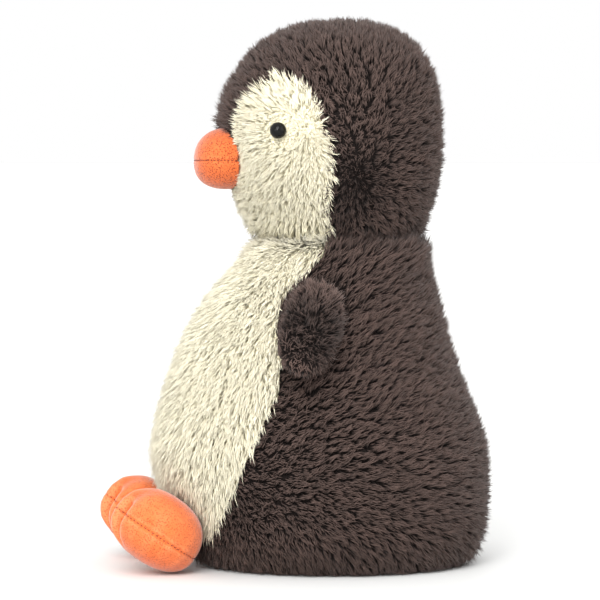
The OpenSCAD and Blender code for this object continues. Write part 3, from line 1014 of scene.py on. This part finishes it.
def pile_on(cover, faces, panel, cloth, comb, clear, seed_step, tone=None):
    """Grows a panel's pile on its faces of a cover, in as few pieces as the limit of strands allows."""
    look = PILE_LOOKS[panel.replace("_left", "").replace("_right", "")]
    pile = settings("pile")
    area = sum(p.area for p, mine in zip(cover.data.polygons, faces) if mine)
    bands = math.ceil(area * pile.density * look.get("density", 1.0) / pile.most)
    pieces = []
    for k, band in enumerate(banded(cover, faces, bands)):
        name = f"{panel}_pile_{k + 1}" if bands > 1 else f"{panel}_pile"
        ground = part_of(cover, name, band)
        points, normals = points_of(ground.data), normals_of(ground.data)
        set_field(ground.data, "comb", comb(points, normals, panel))
        set_field(ground.data, "grow", clear(points))
        # The tone field gives the strands painted light and shade.
        set_field(ground.data, "tone", tone(points) if tone else np.zeros(len(points)))
        pieces.append(grow_pile(name, ground, cloth, seed_step + 7 * k, **look))
    return pieces


PILE_LOOKS = {
    "belly_panel": {
        "length": 1.05, "lean": 1.35, "density": 1.3, "width": 0.9, "pull": 0.6, "disorder": 0.22,
    },
    "side_panel": {},
    "face": {"length": 0.85, "lean": 1.15, "density": 1.3, "width": 0.85, "pull": 0.7, "disorder": 0.25},
    "crown_gusset": {"length": 0.82, "lean": 0.85, "disorder": 0.35},
    "hood": {"length": 0.86, "disorder": 0.35},
    "flipper_outer": {"length": 0.85, "disorder": 0.8, "pull": 1.3},
    "flipper_inner": {"length": 0.5, "disorder": 0.4},
}


def dress(piece, nodes, blend=None, ride=None):
    """Hides the CAD nodes that a finished piece takes the place of and says what it moves with."""
    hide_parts(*nodes)
    if blend:
        low, high = blend[2], blend[3]
        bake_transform(piece, blend[0], blend[1], start=(0, NECK.y, low), end=(0, NECK.y, high))
    else:
        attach(piece, ride)


TORSO_BLEND = ("torso", "neck", 0.114, NECK.z)
HEAD_BLEND = ("neck", "head", NECK.z, 0.162)


class PENGUIN_OT_body(Operator):
    """Sews the body's stuffed cover and grows the pile of its belly and sides"""

    bl_idname = "penguin.body"
    bl_label = "Body"

    def execute(self, context):
        fillings = ["body_filling", "neck_filling", "pellet_bag", "pellets"]
        cover, belongs = make_cover("body_cover", list(BODY_PANELS) + fillings, BODY_PANELS)
        feet = [f"foot_upper_{side}" for side in SIDES]
        flippers = [f"flipper_{face}_{side}" for side in SIDES for face in ("outer", "inner")]

        def clear(points):
            grow = 0.3 + 0.7 * smoothstep(0.5 * MM, 7 * MM, distance_to(feet, points))
            grow *= smoothstep(1 * MM, 10 * MM, distance_to(flippers, points))
            hem = 1.0 + 0.3 * smoothstep(14 * MM, 5 * MM, points[:, 2])
            throat = 0.35 * smoothstep(110 * MM, 132 * MM, points[:, 2])
            throat *= smoothstep(10 * MM, -15 * MM, points[:, 1])
            return grow * (hem - throat) * neck_rim(points)

        # Painted shade: the pile is painted darker round the flippers, where they shade the body.
        def tone(points):
            return -0.6 * smoothstep(9 * MM, 3 * MM, distance_to(flippers, points))

        for k, (panel, cloth) in enumerate(BODY_PANELS.items()):
            if panel == "base_panel":
                continue
            for piece in pile_on(cover, belongs == k, panel, cloth, body_comb, clear, 100 * k, tone):
                dress(piece, [panel], blend=TORSO_BLEND)
        dress(cover, ["base_panel"] + fillings, blend=TORSO_BLEND)
        return {"FINISHED"}


class PENGUIN_OT_head(Operator):
    """Sews the head's stuffed cover and grows the pile of its face, hood and crown"""

    bl_idname = "penguin.head"
    bl_label = "Head"

    def execute(self, context):
        cover, belongs = make_cover("head_cover", list(HEAD_PANELS) + ["head_filling"], HEAD_PANELS)

        def clear(points):
            grow = np.ones(len(points))
            for side in SIDES:
                low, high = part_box("eye_" + side)
                centre = (low + high) / 2
                grow *= 0.35 + 0.65 * around(points, centre, 4.5 * MM, 10 * MM)
                grow *= around(points, centre, 3.2 * MM, 3.8 * MM)
            return grow * neck_rim(points)

        def clear_hood(points):
            brow = np.exp(-((points[:, 2] - 187 * MM) / (11 * MM)) ** 2)
            brow *= smoothstep(-5 * MM, -18 * MM, points[:, 1])
            room = np.where(points[:, 1] < 0, smoothstep(0.75, 1.0, beak_reach(points)), 1.0)
            return clear(points) * room * (1.0 + 0.5 * brow)

        def clear_face(points):
            reach = beak_reach(points)
            room = smoothstep(0.92, 1.06, reach) * (0.6 + 0.4 * smoothstep(1.1, 1.6, reach))
            return clear(points) * np.where(points[:, 1] < 0, room, 1.0)

        def tone(points):
            """Painted shade: the pile is painted darker below and behind the cheek, where it is seen end on.
            """
            mirrored = points.copy()
            mirrored[:, 0] = np.abs(mirrored[:, 0])
            return -0.4 * (1.0 - around(mirrored, np.array([40, 14, 158]) * MM, 8 * MM, 26 * MM))

        for k, (panel, cloth) in enumerate(HEAD_PANELS.items()):
            # The charcoal panels get the painted shade of tone.
            painted_shade, room = (tone, clear_hood) if cloth == "charcoal" else (None, clear_face)
            for piece in pile_on(cover, belongs == k, panel, cloth, head_comb, room, 1000 + 100 * k, painted_shade):
                dress(piece, [panel], blend=HEAD_BLEND)
        dress(cover, ["head_filling"], blend=HEAD_BLEND)
        return {"FINISHED"}


# ---------------------------------------------------------------- flippers


class PENGUIN_OT_flippers(Operator):
    """Sews both stub flippers, with pile that stands up in their middle and fans out at their rim"""

    bl_idname = "penguin.flippers"
    bl_label = "Flippers"

    def execute(self, context):
        for k, side in enumerate(SIDES):
            parts = [f"flipper_outer_{side}", f"flipper_inner_{side}"]
            filling = f"flipper_filling_{side}"
            cover = copy_of_nodes(f"flipper_cover_{side}", parts + [filling])
            remesh(cover, 1.6 * MM)
            relax(cover.data, 5)
            stuff(cover, settings("padding").pressure, 0.6 * MM)
            set_field(cover.data, "cream", np.zeros(len(cover.data.vertices)))
            cover.data.materials.append(material("plush backing"))
            cover.data.shade_smooth()
            belongs = nearest_panel(cover, parts)
            middle = points_of(cover.data).mean(0)

            def comb(points, normals, panel):
                way = tangent(points - middle, normals)
                return way / (np.linalg.norm(way, axis=1)[:, None] + 9 * MM) * 1.5

            def clear(points):
                return np.ones(len(points))

            def tone(points):
                """Painted light and shade: the rim is painted lighter, a painted highlight, and the middle
                darker, painted shade, where the strands are seen end on.
                """
                away = np.linalg.norm((points - middle)[:, 1:], axis=1)
                return -0.3 + 1.3 * smoothstep(8 * MM, 18 * MM, away)

            for j, panel in enumerate(parts):
                seed_step = 2000 + 100 * k + 10 * j
                for piece in pile_on(cover, belongs == j, panel, "charcoal", comb, clear, seed_step, tone):
                    dress(piece, [panel], ride="flipper_" + side)
            dress(cover, [filling], ride="flipper_" + side)
        return {"FINISHED"}


# ---------------------------------------------------------------- suede feet and beak


def ridges(mesh):
    """How strongly each point stands out from its neighbours, 0 to 1."""
    points, normals = points_of(mesh), normals_of(mesh)
    edges = np.empty(len(mesh.edges) * 2, np.int32)
    mesh.edges.foreach_get("vertices", edges)
    a, b = edges[0::2], edges[1::2]
    total = np.zeros_like(points)
    np.add.at(total, a, points[b])
    np.add.at(total, b, points[a])
    count = np.bincount(edges, minlength=len(points))[:, None]
    out = ((points - total / count) * normals).sum(1)
    for turn in range(4):
        total = np.zeros(len(points))
        np.add.at(total, a, out[b])
        np.add.at(total, b, out[a])
        out = 0.5 * out + 0.5 * total / count[:, 0]
    return np.clip(out / np.percentile(out, 97), 0.0, 1.0)


def sew_line(height, reach, depth):
    """How far a seam at height 0 pulls each point in."""
    return depth * np.exp(-(height / reach) ** 2)


def seam_loop(mesh, spot, normal):
    """The closed line where a plane cuts a mesh, as points in order."""
    work = bmesh.new()
    work.from_mesh(mesh)
    cut = bmesh.ops.bisect_plane(
        work, geom=work.verts[:] + work.edges[:] + work.faces[:], plane_co=spot, plane_no=normal, dist=1e-7,
    )["geom_cut"]
    edges = [g for g in cut if isinstance(g, bmesh.types.BMEdge)]
    near = {}
    for edge in edges:
        for here, there in (edge.verts, reversed(edge.verts)):
            near.setdefault(here, []).append(there)
    start = next(iter(near))
    loop, before, now = [start.co.copy()], None, start
    while True:
        after = next((v for v in near[now] if v is not before), None)
        if after is None or after is start:
            break
        loop.append(after.co.copy())
        before, now = now, after
    work.free()
    return loop


def stitch_object():
    """One stitch of thread, 1 long and lying along X: a few-sided bar with rounded, dipping ends."""
    mesh = bpy.data.meshes.new("stitch")
    work = bmesh.new()
    rings = []
    half = ((0.32, 0.0, 0.9), (0.5, -0.18, 0.35))
    ends = [(-x, drop, wide) for x, drop, wide in reversed(half)]
    for x, drop, wide in (*ends, (0.0, 0.06, 1.0), *half):
        ring = []
        for k in range(6):
            turn = math.radians(60 * k)
            across, up = 0.16 * wide * math.cos(turn), 0.16 * wide * math.sin(turn)
            ring.append(work.verts.new((x, across, drop + up)))
        rings.append(ring)
    for low, high in zip(rings, rings[1:]):
        for k in range(6):
            work.faces.new((low[k], low[(k + 1) % 6], high[(k + 1) % 6], high[k]))
    work.faces.new(rings[0])
    work.faces.new(rings[-1])
    bmesh.ops.recalc_face_normals(work, faces=work.faces)
    work.to_mesh(mesh)
    work.free()
    mesh.shade_smooth()
    return bpy.data.objects.new("stitch", mesh)


def stitch_tree():
    """Geometry nodes that lay stitches end to end along a line, with each facing out of the cloth."""
    tree = bpy.data.node_groups.new("Stitches", "GeometryNodeTree")
    tree.is_modifier = True
    for label, way, socket in (
        ("Geometry", "OUTPUT", "Geometry"), ("Geometry", "INPUT", "Geometry"), ("Stitch", "INPUT", "Object"),
        ("Material", "INPUT", "Material"), ("Spacing", "INPUT", "Float"), ("Stitch length", "INPUT", "Float"),
    ):
        tree.interface.new_socket(name=label, in_out=way, socket_type="NodeSocket" + socket)
    w = Wiring(tree)
    given, out = w.add("NodeGroupInput").outputs, w.add("NodeGroupOutput")
    line = w.add("GeometryNodeMeshToCurve", {"Mesh": given["Geometry"]})
    even = w.add(
        "GeometryNodeResampleCurve", {"Curve": line.outputs[0], "Length": given["Spacing"]}, mode="LENGTH",
    )
    outward = w.field("outward", "FLOAT_VECTOR")
    along = w.add("GeometryNodeInputTangent").outputs[0]
    turned = w.add("FunctionNodeAxesToRotation", {
        "Primary Axis": along, "Secondary Axis": outward,
    }, primary_axis="X", secondary_axis="Z").outputs[0]
    stitch = w.add("GeometryNodeObjectInfo", {"Object": given["Stitch"]})
    laid = w.add("GeometryNodeInstanceOnPoints", {
        "Points": even.outputs[0], "Instance": stitch.outputs["Geometry"], "Rotation": turned,
        "Scale": given["Stitch length"],
    })
    real = w.add("GeometryNodeRealizeInstances", {"Geometry": laid.outputs[0]})
    dyed = w.add("GeometryNodeSetMaterial", {"Geometry": real.outputs[0], "Material": given["Material"]})
    w.feed(out.inputs[0], dyed.outputs[0])
    return tree


def sew(name, cloth, loop, spacing, length, body, keep=None):
    """Lays stitches along a loop on a piece of cloth and returns them as plain mesh."""
    mesh = cloth.data
    skin = BVHTree.FromPolygons([v.co for v in mesh.vertices], [p.vertices for p in mesh.polygons])
    if keep:
        loop = [p for p in loop if keep(p)]
    mesh = bpy.data.meshes.new(name)
    edges = [(k, k + 1) for k in range(len(loop) - 1)]
    if keep is None:
        edges.append((len(loop) - 1, 0))
    mesh.from_pydata([tuple(p) for p in loop], edges, [])
    set_field(mesh, "outward", np.array([skin.find_nearest(p)[1] for p in loop]))
    line = add_object(name, mesh)
    tree = shared("Stitches", stitch_tree)
    modifier = line.modifiers.new("stitches", "NODES")
    modifier.node_group = tree
    stitch = bpy.data.objects.get("stitch") or stitch_object()
    for key, value in (("Stitch", stitch), ("Material", material("sewing thread")), ("Spacing", spacing),
                       ("Stitch length", length)):
        modifier[socket_key(tree, key)] = value
    settle(line)
    line.data.shade_smooth()
    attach(line, body)
    return line


FOOT_TILT = math.radians(34)
TOE_FOLD = math.radians(20)  # angle of each fold between toes from the middle toe


def foot_frame(side):
    """Middle of a foot on its seam, its three axes (out, to the toes, up) and half its length and width."""
    tilt_toe = np.array([0, -math.cos(FOOT_TILT), math.sin(FOOT_TILT)])
    tilt_up = np.array([0, math.sin(FOOT_TILT), math.cos(FOOT_TILT)])
    axes = np.array([[1.0, 0, 0], tilt_toe, tilt_up])
    upper = points_of(frame["nodes"]["foot_upper_" + side].data) @ axes.T
    sole = points_of(frame["nodes"]["foot_sole_" + side].data) @ axes.T
    both = np.concatenate([upper, sole])
    low, high = both.min(0), both.max(0)
    middle = (low + high) / 2
    middle[2] = (upper[:, 2].min() + sole[:, 2].max()) / 2
    return middle @ axes, axes, (high - low) / 2


class PENGUIN_OT_feet(Operator):
    """Sews both suede feet: three toes with two folds, and a stitched seam all round"""

    bl_idname = "penguin.feet"
    bl_label = "Feet"

    def execute(self, context):
        for side in SIDES:
            nodes = [f"foot_upper_{side}", f"foot_sole_{side}", f"foot_filling_{side}"]
            foot = copy_of_nodes("foot_" + side + "_suede", nodes)
            remesh(foot, 1.5 * MM)
            relax(foot.data, 8)
            stuff(foot, settings("padding").pressure, 0.7 * MM)
            middle, axes, half = foot_frame(side)
            self.soften_top(foot.data, middle, axes, half)
            subdivide(foot, 1)
            self.shape_toes(foot.data, middle, axes, half)
            relax(foot.data, 2, 0.3)
            # The ridge field marks where the suede gets its painted highlight.
            set_field(foot.data, "ridge", ridges(foot.data))
            set_field(foot.data, "speck", np.full(len(foot.data.vertices), 0.6))
            foot.data.materials.append(material("orange suede"))
            foot.data.shade_smooth()
            loop = seam_loop(foot.data, middle, axes[2])
            sew(f"foot_{side}_stitches", foot, loop, 1.9 * MM, 1.25 * MM, "foot_" + side)
            dress(foot, nodes, ride="foot_" + side)
        return {"FINISHED"}

    def soften_top(self, mesh, middle, axes, half):
        """Evens out the top of a foot, so that the folds between its toes fade away from its front edge."""
        before = points_of(mesh)
        relax(mesh, 100)
        height = ((before - middle) @ axes.T)[:, 2] / half[2]
        share = smoothstep(0.1, 0.5, height)[:, None]
        move_points(mesh, before + (points_of(mesh) - before) * share)

    def shape_toes(self, mesh, middle, axes, half):
        points, normals = points_of(mesh), normals_of(mesh)
        local = (points - middle) @ axes.T
        reach = np.hypot(local[:, 0] / half[0], local[:, 1] / half[1])
        turn = np.arctan2(local[:, 0] / half[0], local[:, 1] / half[1])
        radius = np.hypot(local[:, 0], local[:, 1])
        for fold in (TOE_FOLD, -TOE_FOLD):
            across = radius * np.sin(turn - fold)
            valley = np.exp(-(across / (2.3 * MM)) ** 2) * (np.cos(turn - fold) > 0)
            valley *= smoothstep(0.5, 0.08, local[:, 2] / half[2])
            back = 6.0 * MM * valley * smoothstep(0.5, 1.0, reach)
            local[:, 0] -= back * math.sin(fold)
            local[:, 1] -= back * math.cos(fold)
            local[:, 2] *= 1.0 - 0.42 * valley * smoothstep(0.35, 0.85, reach)
        points = local @ axes + middle
        push = sew_line(local[:, 2], 0.55 * MM, 0.4 * MM)
        move_points(mesh, points - normals * push[:, None])


class PENGUIN_OT_beak(Operator):
    """Sews the suede beak, with its stitched side seam"""

    bl_idname = "penguin.beak"
    bl_label = "Beak"

    def execute(self, context):
        nodes = ["beak_upper", "beak_lower", "beak_filling"]
        seam_height = (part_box("beak_upper")[0].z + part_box("beak_lower")[1].z) / 2
        beak = copy_of_nodes("beak_suede", nodes)
        remesh(beak, 1.0 * MM)
        relax(beak.data, 8)
        stuff(beak, settings("padding").pressure, 0.5 * MM)
        subdivide(beak, 1)
        points, normals = points_of(beak.data), normals_of(beak.data)
        push = sew_line(points[:, 2] - seam_height, 0.5 * MM, 0.4 * MM)
        move_points(beak.data, points - normals * push[:, None])
        # A weaker painted highlight along the beak's ridges.
        set_field(beak.data, "ridge", 0.3 * ridges(beak.data))
        set_field(beak.data, "speck", np.full(len(beak.data.vertices), 1.0))
        beak.data.materials.append(material("orange suede"))
        beak.data.shade_smooth()
        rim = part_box("beak_upper")[1].y - 2 * MM
        loop = seam_loop(beak.data, (0, 0, seam_height), (0, 0, 1))
        start = max(range(len(loop)), key=lambda k: loop[k].y)
        loop = loop[start:] + loop[:start]
        sew("beak_stitches", beak, loop, 1.5 * MM, 1.25 * MM, "head", keep=lambda p: p.y < rim)
        dress(beak, nodes, ride="head")
        return {"FINISHED"}


# ---------------------------------------------------------------- eyes


class PENGUIN_OT_eyes(Operator):
    """Sets the two glossy bead eyes and finishes their hidden washers"""

    bl_idname = "penguin.eyes"
    bl_label = "Eyes"

    def execute(self, context):
        for side in SIDES:
            for node, name in (("eye_" + side, "eye bead"), ("eye_washer_" + side, "moulded washer")):
                mesh = frame["nodes"][node].data
                mesh.materials[0] = material(name)
        return {"FINISHED"}


# ---------------------------------------------------------------- stage


class PENGUIN_OT_stage(Operator):
    """Lays the pale floor, hangs the soft lights and sets the camera"""

    bl_idname = "penguin.stage"
    bl_label = "Stage"

    def execute(self, context):
        stage = settings("stage")
        self.lay_floor(stage)
        self.hang_lights(context, stage)
        self.set_camera(context, stage)
        context.scene.view_settings.view_transform = "Standard"
        return {"FINISHED"}

    def lay_floor(self, stage):
        mesh = bpy.data.meshes.new("floor")
        work = bmesh.new()
        bmesh.ops.create_circle(work, cap_ends=True, segments=96, radius=stage.floor_radius)
        work.to_mesh(mesh)
        work.free()
        floor = add_object("floor", mesh)
        mesh.materials.append(material("pale floor"))

    def hang_lights(self, context, stage):
        world = bpy.data.worlds.new("studio")
        context.scene.world = world
        world.use_nodes = True
        w = Wiring(world.node_tree)
        world.node_tree.nodes.clear()
        soft = w.add("ShaderNodeBackground", {"Color": (1, 1, 1, 1), "Strength": stage.sky})
        white = w.add("ShaderNodeBackground", {"Color": (1, 1, 1, 1), "Strength": 1.0})
        seen = w.add("ShaderNodeLightPath").outputs["Is Camera Ray"]
        both = w.add("ShaderNodeMixShader", {0: seen, 1: soft, 2: white})
        w.add("ShaderNodeOutputWorld", {"Surface": both})
        # A wide soft light from above, ahead of the toy and on the camera's side
        for name, strength, way, spread in (
            ("key", stage.sun, (0.95, -0.25, 0.72), 40),
            ("fill", stage.sun * 0.75, (0.8, -0.55, -0.08), 50),
            ("rim", stage.sun * 0.35, (0.6, 0.8, 0.25), 50),
        ):
            light = bpy.data.lights.new(name, "SUN")
            light.energy = strength
            light.angle = math.radians(spread)
            lamp = bpy.data.objects.new(name, light)
            lamp.rotation_euler = Vector(way).to_track_quat("Z", "Y").to_euler()
            context.scene.collection.objects.link(lamp)

        lamp = bpy.data.lights.new("window", "AREA")
        lamp.shape = "DISK"
        lamp.size = 0.35
        lamp.energy = stage.lamp
        seat = bpy.data.objects.new("window", lamp)
        way = Vector((0.93, -0.28, 0.33)).normalized()
        seat.location = Vector(stage.target) + way * 1.6
        seat.rotation_euler = way.to_track_quat("Z", "Y").to_euler()
        context.scene.collection.objects.link(seat)

    def set_camera(self, context, stage):
        camera = bpy.data.cameras.new("camera")
        camera.sensor_width = 36
        camera.lens = camera.sensor_width / 2 * stage.distance / stage.half_frame
        camera.clip_start = 0.05
        camera.clip_end = 200
        seat = bpy.data.objects.new("camera", camera)
        context.scene.collection.objects.link(seat)
        a, e = stage.azimuth, stage.elevation
        back = Vector((math.sin(a) * math.cos(e), -math.cos(a) * math.cos(e), math.sin(e)))
        seat.location = Vector(stage.target) + back * stage.distance
        seat.rotation_euler = (-back).to_track_quat("-Z", "Y").to_euler()
        context.scene.camera = seat


# ---------------------------------------------------------------- panel and main


class PENGUIN_PT_sidebar(Panel):
    """Lists the penguin's pieces and sizes"""

    bl_idname = "PENGUIN_PT_sidebar"
    bl_label = "Plush penguin"
    bl_space_type = "VIEW_3D"
    bl_region_type = "UI"
    bl_category = "Penguin"

    def draw(self, context):
        for kind in ("pile", "padding", "colours", "stage"):
            group = getattr(context.scene, "penguin_" + kind)
            column = self.layout.column(heading=kind.capitalize())
            for key in group.bl_rna.properties.keys():
                if key not in ("rna_type", "name"):
                    column.prop(group, key)
        for operator in OPERATORS:
            self.layout.operator(operator.bl_idname)


GROUPS = {"pile": PenguinPile, "padding": PenguinPadding, "colours": PenguinColours, "stage": PenguinStage}
OPERATORS = (
    PENGUIN_OT_stage, PENGUIN_OT_body, PENGUIN_OT_head, PENGUIN_OT_flippers, PENGUIN_OT_feet,
    PENGUIN_OT_beak, PENGUIN_OT_eyes,
)


def register():
    for kind, group in GROUPS.items():
        bpy.utils.register_class(group)
        setattr(bpy.types.Scene, "penguin_" + kind, PointerProperty(type=group))
    for operator in OPERATORS:
        bpy.utils.register_class(operator)
    bpy.utils.register_class(PENGUIN_PT_sidebar)


def unregister():
    bpy.utils.unregister_class(PENGUIN_PT_sidebar)
    for operator in reversed(OPERATORS):
        bpy.utils.unregister_class(operator)
    for kind, group in reversed(list(GROUPS.items())):
        delattr(bpy.types.Scene, "penguin_" + kind)
        bpy.utils.unregister_class(group)


def main():
    register()
    bpy.ops.penguin.stage()
    bpy.ops.penguin.body()
    bpy.ops.penguin.head()
    bpy.ops.penguin.flippers()
    bpy.ops.penguin.feet()
    bpy.ops.penguin.beak()
    bpy.ops.penguin.eyes()


if __name__ == "__main__":
    main()
